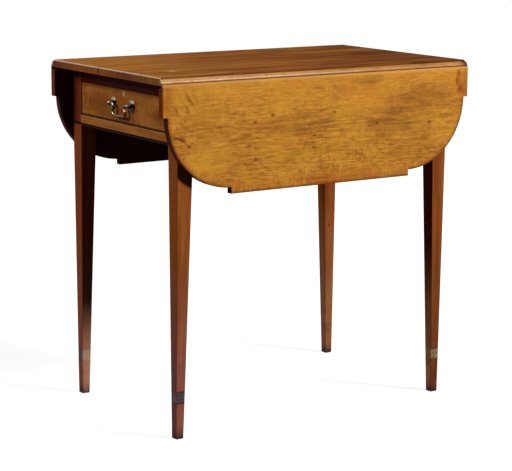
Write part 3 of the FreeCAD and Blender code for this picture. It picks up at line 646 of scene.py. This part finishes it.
# The top
def top_ends(top):
    """Red, gold and olive end grain, the line of the glued seam, and the crack in its end."""
    end_face = top.faces(Y_AXIS)
    stops = ((0.06, end_red), (0.28, end_gold), (0.50, end_gold), (0.68, end_red), (0.90, end_olive))
    top.stain(end_face, top.ramp(top.ranged(top.x, top_low[0], top_high[0]), stops), amount=0.92)
    upright = top.contrast(top.noise(top.stretched(top.place, scale=(330.0, 1.0, 20.0))), 0.40, 0.62)
    top.stain(top.both(end_face, upright), end_line_dark, amount=0.55)
    off_seam = top.away(top.x, top_seam_x)
    top.stain(top.past(off_seam, 0.0, top_seam_band), joint_and_shade_dark, amount=0.7)
    top.stain(top.both(top.past(off_seam, 0.0, top_crack_band), end_face), crack_black, amount=0.9)


def top_mouldings(top):
    """Paler mouldings along both hinge lines, with a painted highlight that grows toward the near end, each
    with a dark joint line below it that is partly grime and partly painted shade, and a dark step above it.
    """
    wide = top.calc("ABSOLUTE", top.x)
    moulding = top.past(wide, hinge_line.x, moulding_band)
    mottle = top.contrast(top.streaks(along=30.0, across=60.0, detail=3.0), 0.35, 0.65)
    # Painted highlight: the moulding goes paler toward the near end.
    faded_and_lit = top.tint(top.ranged(top.y, *moulding_highlight_reach), moulding_brown, moulding_highlight_pale)
    top.stain(moulding, faded_and_lit, top.ranged(mottle, 0.0, 1.0, to_low=0.45, to_high=0.85))
    # Grime and painted shade: a dark line at the joint below the moulding.
    joint = top.both(moulding, top.past(top.z, hinge_line.z, moulding_joint_shade_band))
    top.stain(joint, joint_and_shade_dark, amount=0.8)
    step = top.both(top.past(wide, hinge_line.x, moulding_step_band), top.calc("SUBTRACT", 1.0, moulding))
    top.stain(step, step_brown, top.ranged(mottle, 0.0, 1.0, to_low=0.35, to_high=0.8))
    return moulding


def top_wood():
    top = Wood("top_brown_wood", Y_AXIS, top_tones, sway=0.020)
    top.figure(top.streaks(along=1.3, across=17.0, detail=3.0), weight=0.80)
    top.figure(top.streaks(along=9.0, across=64.0), weight=1.10)
    top.fibres(along=14.0, across=280.0, weight=0.55)
    # Painted light: the top's tone rises toward the near end, so it looks lighter there.
    top.figure(top.ranged(top.y, top_high[1], top_low[1]), weight=0.60)
    top.colour_in()
    top.blush(top_red, along=2.0, across=14.0, amount=0.60)
    top.blush(top_olive, along=2.5, across=11.0, amount=0.55, shift=(0.1, 2.3, 0.6))
    top.blush(top_gold, along=4.0, across=22.0, amount=0.60, shift=(1.4, 0.8, 2.6))
    top.blush(top_dark, along=1.8, across=40.0, amount=0.80, shift=(0.9, 1.7, 0.3))
    top.pores(amount=0.40)
    top_ends(top)
    scuff_place = (top_scuff_x, top_low[1] + top_scuff_from_end, top_high[2])
    top.stain(top.ragged_patch(top.place, scuff_place, top_scuff_size, ragged=0.5), scuff_pale, amount=0.75)
    moulding = top_mouldings(top)
    # Painted highlight: a pale line along the upper arris of each end of the top.
    ends = top.past(top.calc("ABSOLUTE", top.y), top_high[1], top_end_highlight_band)
    upper = top.past(top.z, top_high[2], top_upper_highlight_band)
    slant = top.faces(Z_AXIS, start=0.985, full=0.93)
    top.stain(top.both(top.both(ends, upper), slant), top_end_highlight_pale, amount=0.85)
    top.bare_side(top.facing(Z_AXIS))
    # Painted shade: a dark band along the far end of the top, over its end face.
    top.stain(top.past(top.y, top_high[1], top_back_shade_band), top_back_shade_dark, amount=0.85)
    sheen = top.ranged(top.y, top_low[1], top_high[1], *moulding_roughness)
    top.polish(shine=top_shine, glossy=(moulding, sheen))
    return top


# The legs
def leg_stile(leg, end_face):
    """The head of a leg beside the drawer, dark maroon and paler on its inner side, partly its own wood and
    partly a painted shadow of the leaf's ear, over the dark string along its foot.
    """
    stile = leg.both(leg.past(leg.z, string_low[2], stile_band), end_face)
    inner = leg.past(leg.calc("ABSOLUTE", leg.x), drawer_high[0], stile_inner_band)
    # Partly painted shadow: the head of the leg darkens toward its outer side.
    leg.stain(stile, leg.tint(inner, stile_maroon_and_shade, stile_red), amount=0.85)
    off_string = leg.away(leg.z, string_low[2] + leg_string_rise)
    leg.stain(leg.both(leg.past(off_string, 0.0, leg_string_band), end_face), leg_string_dark, amount=0.8)


def leg_wood(name, tones, end_tone, foot_tones):
    """Leg wood whose foot goes to its own tone on the end faces and on the side faces: partly fading, and
    partly painted light where a foot is in shade.
    """
    leg = Wood(name, Z_AXIS, tones, sway=0.012)
    end_foot, side_foot = foot_tones
    leg.figure(leg.streaks(along=3.0, across=95.0), weight=0.55)
    leg.fibres(along=9.0, across=420.0, weight=0.45)
    leg.figure(leg.streaks(along=4.0, across=24.0, detail=3.0), weight=0.65)
    leg.colour_in()
    leg.blush(leg_russet, along=5.0, across=40.0, amount=0.55)
    end_face = leg.faces(Y_AXIS, start=0.6, full=0.9)
    leg.stain(end_face, end_tone, amount=0.75)
    uneven = leg.contrast(leg.streaks(along=8.0, across=60.0), 0.3, 0.6, least=0.55)
    # Fading at the foot, and painted light on feet that lie in shade.
    faded_and_lit = leg.both(leg.ranged(leg.z, *leg_fading_and_light), uneven)
    leg.stain(faded_and_lit, leg.tint(end_face, side_foot, end_foot), amount=0.9)
    blotches = leg.contrast(leg.noise(leg.place, scale=30.0, detail=4.0), 0.48, 0.66)
    leg.stain(leg.both(blotches, leg.ranged(leg.z, *leg_blotching)), leg_blotch_pink, amount=0.55)
    leg.pores(amount=0.5)
    leg.flecks(share=0.08)
    leg_stile(leg, end_face)
    # Painted shade: a dark line along the arrises of the leg.
    leg.stain(leg.edge(leg_arris), leg_arris_shade_dark, amount=0.7)
    scuffs = leg.contrast(leg.streaks(along=90.0, across=120.0), 0.30, 0.50, least=0.4)
    leg.stain(leg.both(leg.past(leg.z, 0.0, foot_scuff_band), scuffs), foot_scuff_dark, amount=0.9)
    leg.end_grain(amount=0.4)
    leg.polish()
    return leg


# The drawer front, the rails and the unpolished woods
def drawer_wood():
    drawer = Wood("drawer_veneer", X_AXIS, drawer_tones)
    drawer.figure(drawer.streaks(along=6.0, across=45.0), weight=0.45)
    drawer.fibres(along=30.0, across=500.0, weight=0.40)
    drawer.figure(drawer.streaks(along=9.0, across=12.0, detail=3.0), weight=1.2)
    drawer.ripple(along=150.0, across=24.0, weight=0.95, patches=12.0)
    drawer.colour_in()
    drawer.blush(drawer_red, along=12.0, across=16.0, amount=0.75)
    keyhole = (keyhole_x, drawer_low[1], drawer_high[2] - keyhole_drop)
    round_keyhole = drawer.ragged_patch(drawer.bent, keyhole, keyhole_cloud_size, ragged=1.2)
    drawer.stain(round_keyhole, keyhole_red, amount=0.6)
    drawer.blush(drawer_olive, along=11.0, across=18.0, amount=0.70, shift=(2.2, 0.5, 1.4))
    drawer.pores(amount=0.4)
    drawer.flecks(share=0.30, amount=0.6, along=70.0, across=110.0)
    wide = drawer.calc("ABSOLUTE", drawer.x)
    # Grime and painted shade: the front darkens along its sides and its top.
    side_grime_and_shade = drawer.past(wide, drawer_high[0], drawer_side_grime_and_shade_band)
    upper_grime_and_shade = drawer.past(drawer.z, drawer_high[2], drawer_upper_grime_and_shade_band)
    drawer.stain(drawer.either(side_grime_and_shade, upper_grime_and_shade), drawer_grime_and_shade_dark, amount=0.6)
    # Painted shade: dark lines along the foot and the sides of the front, for the gaps round the drawer.
    drawer.stain(drawer.past(drawer.z, drawer_low[2], drawer_foot_gap_band), drawer_foot_gap_shade, amount=0.9)
    drawer.stain(drawer.past(wide, drawer_high[0], drawer_side_gap_band), drawer_side_gap_shade, amount=0.85)
    drawer.stain(drawer.edge(drawer_arris), drawer_arris_dark, amount=0.8)
    drawer.bare_side(drawer.both(drawer.calc("SIGN", drawer.y), drawer.facing(Y_AXIS)))
    drawer.polish()
    return drawer


def rail_wood(name, grain, tones, worn):
    rail = Wood(name, grain, tones)
    rail.figure(rail.streaks(along=5.0, across=120.0), weight=0.5)
    rail.fibres(along=14.0, across=460.0, weight=0.40)
    rail.figure(rail.streaks(along=6.0, across=20.0, detail=3.0), weight=0.6)
    rail.colour_in()
    rail.blush(tones[1], along=12.0, across=50.0, amount=0.7)
    rail.pores(amount=0.45)
    rail.flecks(share=0.25, amount=0.6, along=60.0, across=110.0)
    # Along the arrises: wear and grime, and on the end and side rails a pale line that is partly painted
    # highlight.
    rail.arrises(rail_arris, worn, amount=0.9)
    rail.stain(rail.past(rail.z, string_high[2], rail_string_band), rail_string_dark, amount=0.97)
    rail.end_grain(amount=0.5)
    rail.polish()
    return rail


def plain_wood(name, grain, tones, heart):
    """Unpolished wood with growth rings round the heart of its tree."""
    plain = Wood(name, grain, tones)
    plain.growth_rings(heart, ring_spacing, weight=1.0)
    plain.fibres(along=7.0, across=330.0, weight=0.9)
    plain.figure(plain.streaks(along=6.0, across=17.0, detail=3.0), weight=1.0)
    plain.colour_in()
    plain.pores(amount=0.5)
    plain.end_grain(amount=0.5)
    plain.polish(roughness=dry_roughness, shine=dry_shine, bump=dry_bump)
    return plain


# Dark inlay along the frieze and round the feet
def frieze_string():
    string = Finish("dark_frieze_string")
    streaks = string.noise(string.stretched(string.place, scale=(60.0, 60.0, 500.0)), detail=3.0)
    string.shader.inputs["Specular IOR Level"].default_value = string_shine
    colour = string.ramp(streaks, string_stops)
    string.surface(colour, streaks, string_roughness, streaks, inlay_bump, inlay_relief)
    return string


def cuff_inlay(name, end_tone, side_tone, end_lines, side_lines):
    """A cuff of dark cross-banding between thin lines, worn back to its own tone on each face."""
    cuff = Finish(name)
    cross = cuff.noise(cuff.stretched(cuff.place, scale=(420.0, 420.0, 90.0)))
    rows = cuff.bands(cuff.z, cuff_row_spacing, detail=1.0)
    toward_side = cuff.faces(X_AXIS, start=0.6, full=0.8)
    lines = cuff.blended(toward_side, end_lines, side_lines)
    colour = cuff.tint(toward_side, end_tone, side_tone)
    colour = cuff.tint(cuff.ranged(rows, 0.50, 0.62, to_high=lines), colour, cuff_row_brown)
    colour = cuff.tint(cuff.ranged(cross, 0.48, 0.34, to_high=lines), colour, cuff_cross_dark)
    upper_rim = cuff.past(cuff.z, cuff_high[2], cuff_upper_band)
    lower_rim = cuff.past(cuff.z, cuff_low[2], cuff_lower_band)
    colour = cuff.tint(cuff.both(cuff.either(upper_rim, lower_rim), lines), colour, cuff_rim_dark)
    cuff.shader.inputs["Specular IOR Level"].default_value = cuff_shine
    cuff.surface(colour, cross, cuff_roughness, cross, inlay_bump, inlay_relief)
    return cuff


# Metals
def aged_brass(name, metallic, tones, highlight_facing, highlight_height=None):
    """Brass dark with patina in its hollows, with painted shade on faces that look down and a painted
    highlight on faces that look up, or above a height that is given.
    """
    brass = Finish(name)
    under, over = tones
    brass.shader.inputs["Metallic"].default_value = metallic
    tarnish = brass.noise(brass.place, scale=160.0, detail=4.0, roughness=0.65)
    scuffs = brass.noise(brass.place, scale=900.0)
    inputs = {"Distance": brass_hollow}
    hollows = brass.add("ShaderNodeAmbientOcclusion", inputs, output=1, samples=8, only_local=True)
    bright = brass.tint(brass.ranged(tarnish, *noise_span, to_low=0.45, to_high=0.0), over, under)
    # Painted light: faces that look up take the painted highlight, faces that look down the dark patina as
    # painted shade.
    lit_from_above = brass.ranged(brass.facing(Z_AXIS), *highlight_facing)
    if highlight_height:
        lit_from_above = brass.either(lit_from_above, brass.past(brass.z, highlight_height, rose_highlight_band))
    colour = brass.tint(lit_from_above, under, bright)
    colour = brass.tint(brass.ranged(hollows, 0.90, 0.50, to_high=0.9), colour, brass_hollow_dark)
    brass.surface(colour, tarnish, brass_roughness, scuffs, brass_bump, brass_relief)
    return brass


def worn_iron():
    iron = Finish("worn_iron")
    iron.shader.inputs["Metallic"].default_value = iron_metallic
    rust = iron.noise(iron.place, scale=120.0, detail=5.0, roughness=0.65)
    pitting = iron.noise(iron.place, scale=700.0, detail=3.0)
    iron.surface(iron.ramp(rust, iron_stops), rust, iron_roughness, pitting, iron_bump, iron_relief)
    return iron


# Every piece of the table with its finish
def dress(finish, names):
    for name in names:
        for slot in frame["nodes"][name].material_slots:
            slot.material = finish.material


def sides(*names):
    return [f"{name}_{side}" for name in names for side in ("left", "right")]


def dress_outside():
    dress(leaf_wood(), sides("leaf"))
    dress(top_wood(), ["table_top"])
    for leg, look in leg_looks.items():
        dress(leg_wood(*look), [leg])
    dress(drawer_wood(), ["drawer_front", "false_drawer_front"])
    # Painted shade: the top rail takes a darker, shaded copy of the rail wood's tones.
    dress(rail_wood("top_rail_wood", X_AXIS, top_rail_shaded_tones, top_rail_worn), ["drawer_top_rail"])
    dress(rail_wood("end_rail_wood", X_AXIS, rail_tones, end_rail_wear_and_highlight), ["drawer_lower_rail", "back_rail"])
    dress(rail_wood("side_rail_wood", Y_AXIS, rail_tones, side_rail_wear_and_highlight), sides("side_rail"))
    dress(frieze_string(), ["front_stringing", "back_stringing"])
    for cuff, look in cuff_looks.items():
        dress(cuff_inlay(*look), [cuff])


def dress_inside():
    dress(plain_wood("drawer_side_oak", Y_AXIS, oak_tones, drawer_side_heart), sides("drawer_side"))
    dress(plain_wood("drawer_back_oak", X_AXIS, oak_tones, drawer_back_heart), ["drawer_back"])
    dress(plain_wood("drawer_bottom_oak", X_AXIS, oak_tones, drawer_bottom_heart), ["drawer_bottom"])
    runners = sides("drawer_runner", "drawer_kicker")
    dress(plain_wood("runner_pine", Y_AXIS, pine_tones, runner_heart), runners)
    dress(plain_wood("block_pine", X_AXIS, pine_tones, block_heart), ["glue_blocks", "drawer_stops"])
    dress(plain_wood("bracket_beech", Y_AXIS, beech_tones, bracket_heart), sides("fly_rail", "fly_bracket"))


def dress_metals():
    escutcheon_tones = (escutcheon_dull, escutcheon_bright)
    handle_tones = (brass_patina_and_shade, brass_painted_highlight)
    escutcheon = aged_brass("escutcheon_brass", escutcheon_metallic, escutcheon_tones, escutcheon_highlight_facing)
    roses = aged_brass("rose_brass", handle_metallic, handle_tones, rose_highlight_facing, rose_top)
    bails = aged_brass("bail_brass", handle_metallic, handle_tones, bail_highlight_facing)
    dress(escutcheon, ["escutcheon"])
    for handle in ("drawer_handle", "back_handle"):
        dress(roses, [f"{handle}_roses", f"{handle}_nuts", f"{handle}_posts"])
    dress(bails, ["drawer_bail", "back_bail", "lock_bolt"])
    hinges = sides("hinge_top_plates", "hinge_leaf_plates", "hinge_pins", "hinge_leaf_screws")
    screws = ["fly_rail_screws", "hinge_top_screws", "top_screws", "lock_screws"]
    dress(worn_iron(), hinges + screws + sides("fly_pin") + ["lock_case"])


# Floor, room, lamps and camera
def grey(level):
    return (level, level, level, 1.0)


def floor_finish():
    """White where it is seen, apart from the table's shadow, and dark to light that bounces."""
    material = bpy.data.materials.new("pale_floor")
    material.use_nodes = True
    floor = Nodes(material.node_tree)
    floor.tree.nodes.remove(floor.tree.nodes["Principled BSDF"])
    reach = floor.vectors("LENGTH", floor.add("ShaderNodeTexCoord", {}, output="Object"), output=1)
    strength = floor.ranged(reach, *floor_glow_reach, floor_glow_near, floor_glow_far)
    glow = floor.add("ShaderNodeEmission", {"Strength": strength})
    shade = floor.add("ShaderNodeBsdfDiffuse", {"Color": grey(floor_shade_depth)})
    lit = floor.add("ShaderNodeAddShader", {0: shade, 1: glow})
    bounce = floor.add("ShaderNodeBsdfDiffuse", {"Color": grey(floor_bounce)})
    shown = floor.calc("MAXIMUM", *floor.shown_rays())
    surface = floor.add("ShaderNodeMixShader", {0: shown, 1: bounce, 2: lit})
    floor.feed(floor.tree.nodes["Material Output"].inputs["Surface"], surface)
    return material


def pale_floor():
    mesh = bpy.data.meshes.new("floor")
    sheet = bmesh.new()
    bmesh.ops.create_grid(sheet, x_segments=1, y_segments=1, size=floor_half)
    sheet.to_mesh(mesh)
    sheet.free()
    mesh.materials.append(floor_finish())
    floor = bpy.data.objects.new("floor", mesh)
    bpy.context.scene.collection.objects.link(floor)


def room():
    """White to the camera, and dim in reflections and as a light, so that no veil lies on the polish."""
    world = bpy.data.worlds.new("studio")
    bpy.context.scene.world = world
    world.use_nodes = True
    sky = Nodes(world.node_tree)
    camera_rays, mirrored_rays = sky.shown_rays()
    dim = sky.calc("MULTIPLY_ADD", mirrored_rays, room_mirrored, room_light)
    background = sky.tree.nodes["Background"]
    background.inputs["Color"].default_value = grey(1.0)
    sky.feed(background.inputs["Strength"], sky.calc("MAXIMUM", camera_rays, dim))


def lamp(name, direction, distance, size, watts):
    light = bpy.data.lights.new(name, "AREA")
    light.shape = "DISK"
    light.size = size
    light.energy = watts
    holder = bpy.data.objects.new(name, light)
    holder.location = studio_aim + direction.normalized() * distance
    holder.rotation_euler = (-direction).to_track_quat("-Z", "Y").to_euler()
    bpy.context.scene.collection.objects.link(holder)


def photo_camera():
    across = math.radians(camera_azimuth)
    above = math.radians(camera_elevation)
    back = Vector((math.sin(across) * math.cos(above), -math.cos(across) * math.cos(above), math.sin(above)))
    turn = (-back).to_track_quat("-Z", "Y") @ Quaternion((0.0, 0.0, 1.0), math.radians(camera_roll))
    data = bpy.data.cameras.new("camera")
    data.lens = camera_lens_mm
    data.sensor_width = camera_sensor_mm
    camera = bpy.data.objects.new("camera", data)
    camera.matrix_world = Matrix.LocRotScale(camera_aim + back * camera_distance, turn, None)
    bpy.context.scene.collection.objects.link(camera)
    bpy.context.scene.camera = camera


dress_outside()
dress_inside()
dress_metals()
pale_floor()
room()
lamp("key_lamp", key_direction, key_distance, key_size, key_watts)
lamp("fill_lamp", fill_direction, fill_distance, fill_size, fill_watts)
photo_camera()
bpy.context.scene.view_settings.view_transform = "Standard"
